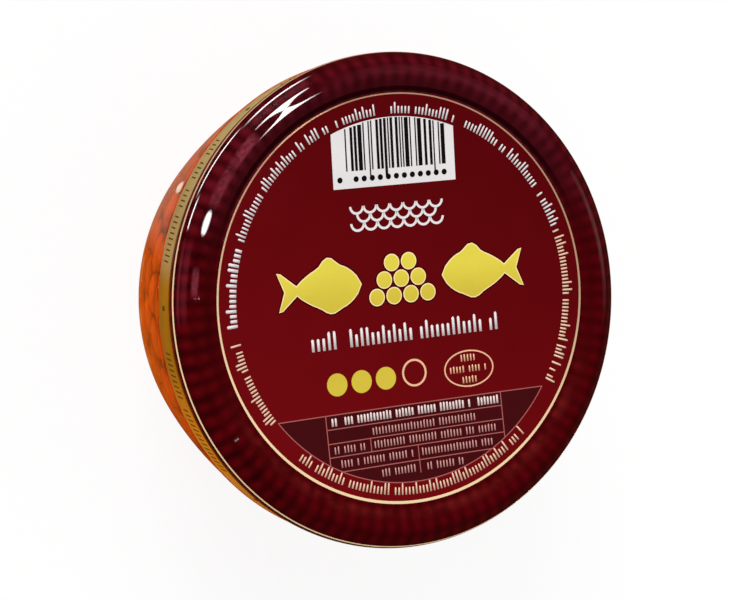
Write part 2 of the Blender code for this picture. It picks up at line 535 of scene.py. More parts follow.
def set_out(build, name, mesh, **values):
    """What a Geometry Nodes tree makes of a mesh, as a plain mesh; the object itself goes."""
    tree = once(build)
    holder = link(bpy.data.objects.new(name, mesh))
    modifier = holder.modifiers.new(name, "NODES")
    modifier.node_group = tree
    for socket in tree.interface.items_tree:
        label = socket.name.replace(" ", "_")
        if socket.in_out == "INPUT" and label in values:
            modifier[socket.identifier] = values[label]
    bpy.context.view_layer.update()
    graph = bpy.context.evaluated_depsgraph_get()
    made = bpy.data.meshes.new_from_object(holder.evaluated_get(graph))
    bpy.data.meshes.remove(mesh, do_unlink=True)
    made.name = name
    return made


def reshaped(mesh, place):
    """Move every vertex of a mesh by a function of its coordinates."""
    co = np.empty(len(mesh.vertices) * 3, np.float32)
    mesh.vertices.foreach_get("co", co)
    moved = place(co.reshape(-1, 3).astype(float))
    mesh.vertices.foreach_set("co", moved.astype(np.float32).ravel())
    mesh.update()
    return mesh


# Lid


def panel_height(r):
    """The dished panel's height at a radius."""
    return PANEL_EDGE - PANEL_DISH * (1 - (r / PANEL_RADIUS) ** 2)


def lid_rim():
    """The lid's upper skin from just inside the panel's edge out to the hem, corners softened."""
    start = PANEL_RADIUS - 1.6
    crest = (CREST_RADIUS, LID_TOP)
    inner_side = (CREST_RADIUS - CREST_HALF_WIDTH, LID_TOP - CREST_INNER_FALL)
    outer_side = (CREST_RADIUS + CREST_HALF_WIDTH, LID_TOP - CREST_OUTER_FALL)
    points = [(start, panel_height(start)), (PANEL_RADIUS, PANEL_EDGE)]
    points += rounded(inner_side, (CREST_RADIUS - CREST_HALF_WIDTH / 2, LID_TOP), crest, 8)
    points += rounded(crest, (CREST_RADIUS + CREST_HALF_WIDTH / 2, LID_TOP), outer_side, 8)[1:]
    points += arc(LID_RADIUS - SHOULDER_ROUND, PANEL_EDGE - SHOULDER_DROP, SHOULDER_ROUND,
                  SHOULDER_START, HEM_ANGLE, 24)
    return softened(points, SKIN_STEP, SKIN_SOFTNESS)


RIM_PATH = lid_rim()
RIM_TRAVEL = travel_along(RIM_PATH)
EDGE_TRAVEL = float(np.interp(PANEL_RADIUS, RIM_PATH[:20, 0], RIM_TRAVEL[:20]))


def on_rim(travel):
    """A point of the rim's skin and its normal, at a distance outwards from the panel's edge."""
    places = travel + EDGE_TRAVEL + np.array([-0.5, 0.0, 0.5]) * SKIN_STEP
    r, z = (np.interp(places, RIM_TRAVEL, RIM_PATH[:, axis]) for axis in (0, 1))
    return (float(r[1]), float(z[1])), Vector((z[0] - z[2], r[2] - r[0])).normalized()


def lid_mesh():
    """The lid's metal shell: the upper skin, the hem and the inner skin."""
    start = RIM_PATH[0][0]
    rings = math.ceil(start / PANEL_STEP)
    radii = [start * k / rings for k in range(rings)]
    outer = [(r, panel_height(r)) for r in radii] + [tuple(point) for point in RIM_PATH]
    along = [r - PANEL_RADIUS for r in radii] + [float(t - EDGE_TRAVEL) for t in RIM_TRAVEL]
    path = np.array(outer)
    tangent = np.gradient(path, axis=0)
    tangent /= np.hypot(*tangent.T)[:, None]
    inner = path + LID_METAL * np.stack([tangent[:, 1], -tangent[:, 0]], axis=1)
    inner[0, 0] = 0.0
    keep = list(range(len(path) - 1, -1, -2))
    if keep[-1] != 0:
        keep.append(0)
    return turned("lid_shell", outer + [tuple(inner[k]) for k in keep], LID_SEGMENTS,
                  along=along + [along[k] for k in keep])


def enamel():
    """Burgundy lacquer: a plain panel with painted light, darker towards the print's head, and a
    woven check round the rim, with a painted plum sheen and painted shade in the groove at the head,
    and a painted lighter inner edge at the foot."""
    made = Finish("lid_enamel", Coat_Roughness=0.045, Metallic=0.0, Specular_IOR_Level=0.0)
    place = made.place()
    x, y = made.flat(place)
    up = y - PRINT_SHIFT
    angle = made.math("ARCTAN2", up, x)
    along = made.attribute("along")
    drift = (made.noise(place, 220.0) - 0.5) * 0.9
    bars = made.math("SINE", angle * CHECK_BARS + drift)
    bands = made.math("SINE", along * (math.tau / CHECK_BAND) + (drift + CHECK_START))
    patches = made.noise(place, 260.0, 3.0) - 0.5
    weave = bars * 0.26 + bands * 0.13 + bars * bands * 0.1 + patches * 0.9
    head = made.step(up, 5.0, 25.0)
    outer = made.step(x, -34.0, -14.0, 1.0, 0.6) + head * 0.1
    share = 0.5 + weave * made.step(along, 0.5, 4.8, 0.4, outer)
    # Painted sheen: a plum cast on the rim towards the print's head
    plum_sheen = head * made.step(along, 2.0, 5.0, 0.7, 0.35)
    # Painted light: a lighter, mottled inner edge beside the panel at the print's foot
    foot = made.step(up, -25.0, -8.0, 0.8, 0.0) * made.step(patches, -0.12, 0.12, 0.3, 1.0)
    beside = made.step(along, -0.8, 0.4) * made.step(along, 0.6, 2.4, 1.0, 0.0)
    bright = made.mix(beside * foot, made.mix(plum_sheen, RIM_RED, RIM_PAINTED_PLUM_SHEEN), GROOVE_PAINTED_LIGHT)
    # Painted shade: the groove beside the panel darkens towards the print's head
    groove_shade_mask = made.step(along, -0.1, 0.1) * made.step(along, 0.7, 1.1, 1.0, 0.0)
    check = made.mix(groove_shade_mask * (head * 0.85), made.mix(share, RIM_DARK, bright), GROOVE_PAINTED_SHADE)
    outside = made.step(made.length(x, up), CIRCLE_RADIUS - 0.05, CIRCLE_RADIUS + 0.05)
    # Painted light: the panel is lit towards the print's lower left and shaded towards its upper
    # right
    painted_light_slope = x * PANEL_FADE[0] + up * PANEL_FADE[1]
    panel = made.mix(made.step(painted_light_slope, -PANEL_FADE_REACH, PANEL_FADE_REACH), PANEL_PAINTED_LIT, PANEL_PAINTED_SHADE)
    made.set(Coat_Weight=made.step(outside, 0.0, 1.0, PANEL_GLOSS, 1.0))
    made.lacquer(place, made.mix(outside, panel, check), 0.42, 0.14, 0.12, 0.08, 0.0012)
    return made.material


def on_panel(co):
    """Lay flat print coordinates on the dished panel; z is the height above it."""
    x, y = co[:, 0], co[:, 1] + PRINT_SHIFT
    return np.stack([x, y, panel_height(np.hypot(x, y)) + co[:, 2]], axis=1)


def circle_mesh():
    """The gold circle on the panel, which is wider at the print's foot."""
    low, high = CIRCLE_RADIUS - CIRCLE_WIDTH / 2, CIRCLE_RADIUS + CIRCLE_WIDTH / 2
    corners = [(low, -INK_SINK), (high, -INK_SINK), (high, INK_LIFT), (low, INK_LIFT)]

    def uneven(co):
        flat, angle = section(co)
        wider = CIRCLE_RADIUS + (flat[:, 0] - CIRCLE_RADIUS) * (1.0 - 0.35 * np.sin(angle))
        return on_panel(round_axis(wider, angle, flat[:, 1]))
    return reshaped(turned("gold_circle", corners, LID_SEGMENTS, closed=True), uneven)


def hairline_mesh():
    """The gold line round the shoulder, which follows the print and not the pressed form."""
    verts, faces = [], []
    for k in range(LID_SEGMENTS):
        angle = math.tau * k / LID_SEGMENTS
        middle = HAIRLINE_FROM_EDGE + PRINT_SHIFT * math.sin(angle)
        for side in (-0.5, 0.5):
            (r, z), normal = on_rim(middle + side * HAIRLINE_WIDTH)
            for lift in (-INK_SINK, INK_LIFT):
                verts.append(round_axis(r + lift * normal.x, angle, z + lift * normal.y))
        here, there = 4 * k, 4 * ((k + 1) % LID_SEGMENTS)
        for a, b in ((0, 1), (1, 3), (3, 2), (2, 0)):
            faces.append((here + a, here + b, there + b, there + a))
    return closed_mesh("shoulder_line", verts, faces)


# Print on the panel


def cut_to_grid(shape):
    """Cut flat faces along a square grid, so that they can follow the dish."""
    for axis in (0, 1):
        values = [vert.co[axis] for vert in shape.verts]
        lines = range(math.ceil(min(values) / GRID_PITCH), math.floor(max(values) / GRID_PITCH) + 1)
        for line in lines:
            middle, normal = [0.0, 0.0, 0.0], [0.0, 0.0, 0.0]
            middle[axis] = line * GRID_PITCH
            normal[axis] = 1.0
            everything = list(shape.verts) + list(shape.edges) + list(shape.faces)
            bmesh.ops.bisect_plane(shape, geom=everything, plane_co=middle, plane_no=normal)


def slab(name, loops, layer=1, gridded=True):
    """Thin closed slabs from flat closed loops of (x, y) points; a higher layer is thicker."""
    shape = bmesh.new()
    for loop in loops:
        shape.faces.new([shape.verts.new((x, y, 0.0)) for x, y in loop])
    if gridded:
        bmesh.ops.triangulate(shape, faces=shape.faces)
        cut_to_grid(shape)
    top = bmesh.ops.extrude_face_region(shape, geom=list(shape.faces))
    raised = {part for part in top["geom"] if isinstance(part, bmesh.types.BMVert)}
    for vert in shape.verts:
        vert.co.z = INK_LIFT * layer if vert in raised else -INK_SINK
    return outwards(name, shape)


def printed(name, loops, finish, layer=1):
    """A printed shape on the panel; a higher layer lies over a lower one."""
    piece(reshaped(slab(name, loops, layer), on_panel), finish, sharp=40.0)


def disc(x, y, radius, steps=28):
    """A circle's points."""
    return arc(x, y, radius, 0.0, 360.0, steps)[:-1]


def ring_loops(x, y, wide, high, width, steps=40, start=0.0, sweep=math.tau):
    """An oval line, or a part of one, as a run of small four-sided loops."""
    def point(turn, side):
        angle = start + sweep * turn / steps
        return (x + (wide + side * width) * math.cos(angle),
                y + (high + side * width) * math.sin(angle))
    return [[point(k, -0.5), point(k, 0.5), point(k + 1, 0.5), point(k + 1, -0.5)]
            for k in range(steps)]


def bar(x0, y0, x1, y1, width):
    """A straight line of the print, as one four-sided loop."""
    along = Vector((x1 - x0, y1 - y0)).normalized()
    side = Vector((-along.y, along.x)) * width / 2
    return [(x0 + side.x, y0 + side.y), (x0 - side.x, y0 - side.y),
            (x1 - side.x, y1 - side.y), (x1 + side.x, y1 + side.y)]


def grown(points, distance):
    """A closed outline moved outwards by a distance."""
    path = np.array(points)
    after = np.roll(path, -1, axis=0)
    edges = after - path
    area = np.sum(path[:, 0] * after[:, 1] - after[:, 0] * path[:, 1])
    normals = np.stack([edges[:, 1], -edges[:, 0]], axis=1) * np.sign(area)
    normals /= np.hypot(*normals.T)[:, None]
    mitre = normals + np.roll(normals, 1, axis=0)
    length = np.maximum(np.sum(mitre * mitre, axis=1) / 2, 0.6)
    return [tuple(point) for point in path + distance * mitre / length[:, None]]


def row_of_marks():
    """Geometry Nodes that set out a straight row of upright marks with gaps, as lines of print."""
    nodes, given = new_tree(
        "row_of_marks", "Geometry",
        {"Mark": "Object", "Length": "Float", "Pitch": "Float", "Short": "Float", "Tall": "Float",
         "Share Tall": "Float", "Share Left Out": "Float", "Seed": "Int", "Ink": "Material"},
        {"Geometry": "Geometry"})

    def chance(share, seed):
        return nodes.add("FunctionNodeRandomValue", settings={"data_type": "BOOLEAN"}, output=3,
                         Probability=share, Seed=seed)
    count = nodes.math("FLOOR", given["Length"] / given["Pitch"]) + 1.0
    line = nodes.add("GeometryNodeMeshLine", settings={"mode": "OFFSET"}, Count=count,
                     Offset=nodes.add("ShaderNodeCombineXYZ", given["Pitch"]))
    height = nodes.add("GeometryNodeSwitch", chance(given["Share Tall"], given["Seed"]),
                       given["Short"], given["Tall"], settings={"input_type": "FLOAT"})
    keep = nodes.add("FunctionNodeBooleanMath",
                     chance(given["Share Left Out"], given["Seed"] + 50.0),
                     settings={"operation": "NOT"})
    mark = nodes.add("GeometryNodeObjectInfo", Object=given["Mark"])["Geometry"]
    placed = nodes.add("GeometryNodeInstanceOnPoints", Points=line, Selection=keep, Instance=mark,
                       Scale=nodes.add("ShaderNodeCombineXYZ", 1.0, height, 1.0))
    nodes.put_out(placed, given["Ink"])
    return nodes.tree


def marks(name, length, pitch, heights, width, finish, seed, left_out=0.14, lean=0.0):
    """A straight row of short and tall marks along +X from the origin, as a plain mesh."""
    half = width / 2
    outline = [(-half, 0.0), (half, 0.0), (half + lean, 0.92), (half * 0.4 + lean, 1.0),
               (-half * 0.4 + lean, 1.0), (-half + lean, 0.92)]
    one = link(bpy.data.objects.new("mark", slab("mark", [outline], gridded=False)))
    made = set_out(row_of_marks, name, bpy.data.meshes.new("line"), Mark=one, Length=length,
                   Pitch=pitch, Short=heights[0], Tall=heights[1], Share_Tall=SHARE_TALL,
                   Share_Left_Out=left_out, Seed=seed, Ink=finish)
    bpy.data.objects.remove(one, do_unlink=True)
    return made


def round_the_print(start, radius, inwards=False):
    """A function that bends a straight row round the print, from an angle in degrees, clockwise
    with its tops outwards, or anticlockwise with its tops inwards."""
    way = 1.0 if inwards else -1.0

    def place(co):
        angle = math.radians(start) + way * co[:, 0] / radius
        return on_panel(round_axis(radius - way * co[:, 1], angle, co[:, 2]))
    return place


def straight_at(x, y, lift=0.0):
    """A function that moves a straight row to a place on the print."""
    return lambda co: on_panel(co + np.array([x, y, lift]))


def fish(length, height):
    """A plain fish's outline, with the nose at the origin and the tail towards +X."""
    steps = 16
    upper, lower = [], []
    for k in range(steps + 1):
        t = k / steps
        body = 0.5 * height * (0.94 * math.sin(math.pi * t ** 0.8) ** 0.85 + 0.16 * t)
        fin = 0.16 * height * max(0.0, math.sin(math.pi * min(1.0, max(0.0, (t - 0.34) / 0.3))))
        upper.append((0.78 * length * t, body + fin))
        lower.append((0.78 * length * t, -body - 0.5 * fin))
    tail = [(0.97 * length, 0.40 * height), (length, 0.42 * height), (0.92 * length, 0.0),
            (length, -0.42 * height), (0.97 * length, -0.40 * height)]
    return upper + tail + list(reversed(lower))[:-1]


# Glass, band and roe


def wall_radius(level, inset=0.0):
    """Radius of the wall's outside at a height, less an inset."""
    share = level / WALL_TOP
    straight = WALL_GROUND_RADIUS + (WALL_TOP_RADIUS - WALL_GROUND_RADIUS) * share
    return straight + 4 * WALL_SWELL * share * (1 - share) - inset


def wall_points(start, end, inset=0.0):
    """Points down or up the wall between two heights, without the first."""
    levels = [start + (end - start) * step / WALL_STEPS for step in range(1, WALL_STEPS + 1)]
    return [(wall_radius(z, inset), z) for z in levels]


def inner_wall():
    """The inside of the glass, from the middle of the floor up to where the mouth draws in."""
    corner_top = FLOOR_LEVEL + FLOOR_CORNER
    corner = (wall_radius(FLOOR_LEVEL, GLASS_WALL), FLOOR_LEVEL)
    points = [(0.0, FLOOR_LEVEL)]
    points += rounded((FLOOR_RADIUS, FLOOR_LEVEL), corner,
                      (wall_radius(corner_top, GLASS_WALL), corner_top), 10)
    points += wall_points(corner_top, BEAD_TOP, GLASS_WALL)
    widest = points[-1][0]
    return points + rounded((widest, BEAD_TOP + 1.5), (widest, GLASS_TOP - 4.6),
                            (MOUTH_RADIUS, GLASS_TOP - 3 * RIM_ROUND), 8)


def wetted_wall(level):
    """The inside of the glass up to a level."""
    points = [point for point in inner_wall() if point[1] < level]
    above = next(point for point in inner_wall() if point[1] >= level)
    below = points[-1]
    share = (level - below[1]) / (above[1] - below[1])
    return points + [(below[0] + share * (above[0] - below[0]), level)]


def glass_profile():
    """The jar's section: up the inside, over the rim, down the outside, to the axis."""
    ledge = BAND_RADIUS - 0.09
    bead_foot = BEAD_TOP - BEAD_HEIGHT
    heel = wall_radius(HEEL_LEVEL)
    points = inner_wall()
    points += arc(MOUTH_RADIUS + RIM_ROUND, GLASS_TOP - RIM_ROUND, RIM_ROUND, 180.0, 90.0, 8)
    points += arc(NECK_RADIUS - RIM_ROUND, GLASS_TOP - RIM_ROUND, RIM_ROUND, 90.0, 0.0, 8)
    points += rounded((NECK_RADIUS, BAND_SEAT_TOP + 0.8), (NECK_RADIUS, BAND_SEAT_TOP),
                      (BAND_SEAT_RADIUS, BAND_SEAT_TOP), 4)
    points += [(BAND_SEAT_RADIUS, BEAD_TOP), (ledge, BEAD_TOP - 0.02)]
    points += rounded((ledge + 0.01, BEAD_TOP - 0.05),
                      (WALL_TOP_RADIUS + BEAD_REACH, BEAD_TOP - BEAD_DROP),
                      (wall_radius(bead_foot), bead_foot), 8)
    points += wall_points(bead_foot, HEEL_LEVEL)
    points += rounded((heel, HEEL_LEVEL), (2 * heel - wall_radius(2 * HEEL_LEVEL), 0.0),
                      (FOOT_OUTER, 0.0), 14)[1:]
    points += rounded((FOOT_INNER, 0.0), (FOOT_INNER - PUSH_UP, 0.0),
                      (FOOT_INNER - 2.5 * PUSH_UP, PUSH_UP), 5)
    return points + [(0.0, PUSH_UP * 1.2)]


def clear_glass():
    """Moulded glass: clear, with slow ripples in its skin and faint smears."""
    made = Finish("clear_glass", Metallic=0.0, IOR=1.5, Transmission_Weight=1.0,
                  Base_Color=(0.985, 0.985, 0.98))
    place = made.place()
    made.set(Roughness=made.group(handled_gloss, Place=place, Roughness=0.005, Smears=0.03),
             Normal=made.skin(made.noise(place, 130.0, 1.0), 0.02))
    made.let_light_through(GLASS_TINT)
    return made.material


def brine():
    """The clear orange juice that the roe lies in."""
    made = Finish("roe_brine", Metallic=0.0, IOR=1.345, Transmission_Weight=1.0)
    cloud = made.step(made.noise(made.place(), 160.0, 3.0), 0.3, 0.7)
    made.set(Base_Color=made.mix(cloud, (0.94, 0.68, 0.26), (0.9, 0.6, 0.18)),
             Roughness=cloud * 0.04)
    made.let_light_through(JUICE_TINT)
    return made.material


def egg_skin(name, colour, deep):
    """Wet translucent eggs, each of its own tone, with a darker oil spot under the skin."""
    made = Finish(name, Roughness=0.15, Specular_IOR_Level=0.2, Subsurface_Weight=0.85,
                  Subsurface_Scale=2.6 * MM, Subsurface_Radius=(1.0, 0.35, 0.12))
    local = made.attribute("egg_local", "Vector")
    side = made.add("ShaderNodeSeparateXYZ", local)["Z"]
    spot = made.step(side + made.noise(local, 2.5) * 0.3, 0.70, 1.02)
    tone = made.mix(made.attribute("tint"), colour, deep)
    tone = made.mix(spot * 0.85, tone, ROE_OIL)
    tone = made.mix(made.noise(local, 3.2, 3.0) * 0.25, tone, ROE_VEIL)
    made.set(Base_Color=tone, Normal=made.skin(made.noise(local, 5.0), 0.03, 0.5))
    return made.material


def gold_paper():
    """Gold coated paper with a dull sheen and small creases: a painted pale olive reflection towards
    the print's head, amber beside the dot and yellower below it."""
    made = Finish("gold_paper", Metallic=0.1, Specular_IOR_Level=0.05)
    place = made.place()
    uneven = made.flat(place)[1] + (made.noise(place, 40.0) - 0.5) * 12.0
    # Painted reflection: the band turns olive towards the print's head
    olive_reflection = made.step(uneven, 5.0, 11.0, 0.0, 0.75) + made.step(uneven, 11.0, 28.0, 0.0, 0.25)
    warm = made.mix(made.step(uneven, -20.0, -3.0), BAND_YELLOW, BAND_AMBER)
    made.lacquer(place, made.mix(olive_reflection, warm, BAND_OLIVE_REFLECTION), 0.42, 0.35, 0.15, 0.2, 0.01)
    return made.material


def wall_gap(points, wall):
    """Distance inwards from the wall, and the inward direction, of (radius, height) points."""
    start = wall[:-1]
    run = wall[1:] - start
    share = np.einsum("nmk,mk->nm", points[:, None] - start, run) / np.sum(run * run, axis=1)
    away = points[:, None] - (start + np.clip(share, 0.0, 1.0)[..., None] * run)
    distance = np.hypot(away[..., 0], away[..., 1])
    best = np.argmin(distance, axis=1)
    edge = run[best]
    inwards = np.stack([-edge[:, 1], edge[:, 0]], axis=1) / np.hypot(*edge.T)[:, None]
    signed = np.sum((points - start[best]) * inwards, axis=1)
    nearest = distance[np.arange(len(points)), best]
    return np.where(signed < 0, -nearest, nearest), inwards


def egg_points(wall, radius, spread, layers, seed):
    """Centres and sizes of eggs in layers against the glass, pushed apart until they fit."""
    draw = random.Random(seed)
    path = evenly(wall[::-1], PATH_STEP)
    centres, sizes, depths = [], [], []
    pitch = EGG_PITCH * radius
    for layer in range(layers):
        travel = radius * (1.2 + 0.8 * layer)
        row = 0
        while travel < PATH_STEP * (len(path) - 1):
            place = path[int(travel / PATH_STEP)]
            r, z = place + radius * (1 + EGG_LAYER * layer) * wall_gap(place[None], wall)[1][0]
            count = max(1, int(math.tau * r / pitch)) if r > 0.4 * radius else 0
            for number in range(count):
                turn = number + 0.5 * (row % 2) + draw.uniform(-0.18, 0.18)
                rise = draw.uniform(-0.15, 0.15) * radius
                centres.append(round_axis(r, math.tau * turn / count, z + rise))
                sizes.append(radius * (1 + draw.uniform(-spread, spread)))
                depths.append(layer)
            travel += pitch * 0.87
            row += 1
    centres, sizes, depths = np.array(centres), np.array(sizes), np.array(depths)
    for turn in range(30):
        away = centres[:, None] - centres[None]
        distance = np.sqrt(np.sum(away * away, axis=2)) + np.eye(len(centres))
        lap = EGG_CLOSENESS * (sizes[:, None] + sizes[None]) - distance
        np.fill_diagonal(lap, 0.0)
        push = np.maximum(lap, 0.0)[..., None] * away / distance[..., None]
        flat, angle = section(centres + 0.25 * np.sum(push, axis=1))
        gap, inwards = wall_gap(flat, wall)
        target = np.where(depths == 0, sizes * 0.97, np.maximum(gap, sizes * 0.97))
        flat = flat + (target - gap)[:, None] * inwards
        centres = round_axis(flat[:, 0], angle, np.minimum(flat[:, 1], FILL_LEVEL - sizes))
    return centres, sizes


def heap_of_eggs():
    """Geometry Nodes that put an egg on every point, turned and sized at random."""
    nodes, given = new_tree(
        "heap_of_eggs", "Geometry",
        {"Geometry": "Geometry", "Faces a Side": "Int", "Unevenness": "Float", "Seed": "Int",
         "Skin": "Material"},
        {"Geometry": "Geometry"})
    seed, uneven = given["Seed"], given["Unevenness"]

    def drawn(kind, low, high, number, output=0):
        return nodes.add("FunctionNodeRandomValue", low, high, settings={"data_type": kind},
                         output=output, Seed=number)

    def stored(geometry, kind, domain, name, value):
        return nodes.add("GeometryNodeStoreNamedAttribute", Geometry=geometry, Name=name,
                         Value=value, settings={"data_type": kind, "domain": domain})
    corners = given["Faces a Side"] + 1.0
    cube = nodes.add("GeometryNodeMeshCube", (2.0, 2.0, 2.0), corners, corners, corners)
    where = nodes.add("GeometryNodeInputPosition")
    ball = nodes.add("GeometryNodeSetPosition", Geometry=cube,
                     Position=nodes.vector("NORMALIZE", where))
    size = nodes.add("GeometryNodeInputNamedAttribute", settings={"data_type": "FLOAT"},
                     Name="size")
    stretch = drawn("FLOAT_VECTOR", 1.0 - uneven, 1.0 + uneven, seed)
    turn = drawn("FLOAT_VECTOR", (0.0, 0.0, 0.0), (math.tau,) * 3, seed + 1.0)
    placed = nodes.add("GeometryNodeInstanceOnPoints", Points=given["Geometry"],
                       Instance=stored(ball, "FLOAT_VECTOR", "POINT", "egg_local", where),
                       Rotation=turn, Scale=nodes.vector("MULTIPLY", stretch, size))
    shade = nodes.add("FunctionNodeRandomValue", settings={"data_type": "FLOAT"}, output=1,
                      Seed=seed + 2.0)
    nodes.put_out(stored(placed, "FLOAT", "INSTANCE", "tint", shade), given["Skin"])
    return nodes.tree


def egg_mesh(settings, finish):
    """The eggs as one plain mesh, flattened where they meet the glass."""
    wall = np.array(wetted_wall(FILL_LEVEL))
    centres, sizes = egg_points(wall, settings.radius / MM, settings.spread, settings.layers,
                                settings.seed)
    points = bpy.data.meshes.new("centres")
    points.from_pydata([tuple(c) for c in centres], [], [])
    points.attributes.new("size", "FLOAT", "POINT").data.foreach_set("value", sizes)
    clear = 0.02

    def press(co):
        flat, angle = section(co)
        gap, inwards = wall_gap(flat, wall)
        flat = flat + np.maximum(clear - gap, 0.0)[:, None] * inwards
        return round_axis(flat[:, 0], angle, np.minimum(flat[:, 1], FILL_LEVEL - clear))
    eggs = set_out(heap_of_eggs, "roe_eggs", points, Faces_a_Side=settings.faces,
                   Unevenness=settings.unevenness, Seed=settings.seed, Skin=finish)
    return reshaped(eggs, press)


# Stage


def camera_place():
    """The camera's place and the point it looks at."""
    centre = Vector((0.0, PRINT_SHIFT, PANEL_EDGE))
    tilt = math.radians(CAMERA_TILT)
    away = Vector(round_axis(math.sin(tilt), math.radians(CAMERA_TURN), math.cos(tilt)))
    return centre + away * CAMERA_DISTANCE, centre + Vector(CAMERA_AIM)


def glow(name, colour, strength):
    """A light sheet's material, which fades as the sheet's own attribute says."""
    made = bpy.data.materials.new(name)
    made.use_nodes = True
    made.node_tree.nodes.clear()
    nodes = Nodes(made.node_tree)
    light = nodes.add("ShaderNodeEmission", colour, nodes.attribute("fade") * strength)
    nodes.add("ShaderNodeOutputMaterial", light)
    return made


def fading(share, softness):
    """One in the middle of a run and nought at both its ends, which take a share of it each."""
    if softness <= 0.0:
        return 1.0
    t = min(1.0, min(share, 1.0 - share) / softness)
    return t * t * (3.0 - 2.0 * t)


def reflected_sheet(name, turn, low, high, colour, strength, reach, soft=(0.0, 0.0), mottle=0.0):
    """A light sheet that the lid mirrors to the camera between two angles, in degrees, and two
    distances from the panel's edge, which may be functions of the share of the way round."""
    eye = camera_place()[0]
    columns, rows = 24, 8
    draw = random.Random(name)
    verts, fades, faces = [], [], []
    for column in range(columns + 1):
        share = column / columns
        angle = math.radians(turn[0] + (turn[1] - turn[0]) * share)
        start, end = (edge(share) if callable(edge) else edge for edge in (low, high))
        for row in range(rows + 1):
            (r, z), (out, up) = on_rim(start + (end - start) * row / rows)
            spot, normal = (Vector(round_axis(*parts)) for parts in ((r, angle, z), (out, angle, up)))
            view = (eye - spot).normalized()
            verts.append(spot + (2 * normal.dot(view) * normal - view) * reach)
            fades.append(fading(share, soft[0]) * fading(row / rows, soft[1])
                         * draw.uniform(1.0 - mottle, 1.0 + mottle))
            corner = column * (rows + 1) + row
            if column < columns and row < rows:
                faces.append((corner, corner + 1, corner + rows + 2, corner + rows + 1))
    mesh = bpy.data.meshes.new(name)
    mesh.from_pydata(verts, [], faces)
    mesh.transform(Matrix.Scale(MM, 4))
    mesh.attributes.new("fade", "FLOAT", "POINT").data.foreach_set("value", fades)
    mesh.materials.append(glow(name, colour, strength))
    sheet = link(bpy.data.objects.new(name, mesh))
    sheet.visible_camera = sheet.visible_diffuse = sheet.visible_shadow = False


def window_strand(share):
    """Width of each of the two strands of the window's reflection, which meet midway."""
    middle = 1.0 - abs(2.0 * share - 1.0)
    return min(0.91, 0.17 + 0.95 * middle ** 4)


def oval(share, half):
    """Half the width of an oval at a share of its length."""
    return half * math.sqrt(max(0.02, 1.0 - (2.0 * share - 1.0) ** 2))


def lid_highlights(bright):
    """The reflections of a window and of pale things near it on the lid's rim."""
    rosy = (1.0, 0.18, 0.27)
    dusky = (1.0, 0.6, 0.58)
    sheets = (
        ("window_inner", (110, 132), 3.05, lambda t: 3.05 + window_strand(t), WHITE, 1.0, 10.5,
         (0.3, 0.0)),
        ("window_outer", (110, 132), lambda t: 4.85 - window_strand(t), 4.85, WHITE, 1.0, 200.0,
         (0.3, 0.0)),
        ("window_small", (152.0, 159.0), lambda t: 4.05 - oval(t, 0.6),
         lambda t: 4.05 + oval(t, 0.6), WHITE, 1.0, 14.0, (0.2, 0.25)),
        ("crest_faint", (165.5, 174), 3.25, 4.7, rosy, 0.1, 20.0, (0.3, 0.3), 0.4),
        ("crest_left", (130, 142), 2.9, 5.1, rosy, 0.11, 50.0, (0.25, 0.3), 0.6),
        ("crest_low", (138, 153), 2.9, 5.1, rosy, 0.07, 50.0, (0.3, 0.3), 0.6),
        ("crest_right", (-16, 42), 3.1, 4.4, dusky, 0.036, 30.0, (0.5, 0.5), 0.4),
        ("crest_top", (30, 113), 2.4, 5.2, rosy, 0.025, 30.0, (0.3, 0.5), 0.3),
        ("nick_left", (173.4, 173.7), 3.1, 4.0, WHITE, 0.4, 20.0),
        ("nick_low", (209.4, 209.7), 3.1, 3.9, WHITE, 0.2, 20.0),
        ("shoulder_faint", (158, 182), 6.4, 7.1, rosy, 0.05, 300.0, (0.3, 0.4), 0.3),
        ("shoulder_top", (110, 132), 6.6, 6.8, WHITE, 1.0, 300.0, (0.3, 0.0)),
        ("shoulder_left", (131, 151), lambda t: 6.85 + 0.25 * t, lambda t: 7.0 + 0.25 * t, WHITE,
         1.0, 300.0, (0.2, 0.0)),
        ("shoulder_low", (149.5, 159.5), 6.72, 6.87, WHITE, 1.0, 300.0, (0.3, 0.0)),
    )
    for name, turn, low, high, colour, share, *rest in sheets:
        reflected_sheet(name, turn, low, high, colour, share * bright, *rest)


def seen_straight(nodes, path):
    """One for the camera's own rays and for those that reach it through glass alone: an odd
    number of bounces means that something in the glass was mirrored on the way."""
    mirrored = nodes.math("MODULO", path["Ray Depth"], 2.0)
    through = path["Is Transmission Ray"] * (1.0 - mirrored * 0.9)
    return nodes.larger(path["Is Camera Ray"], through)


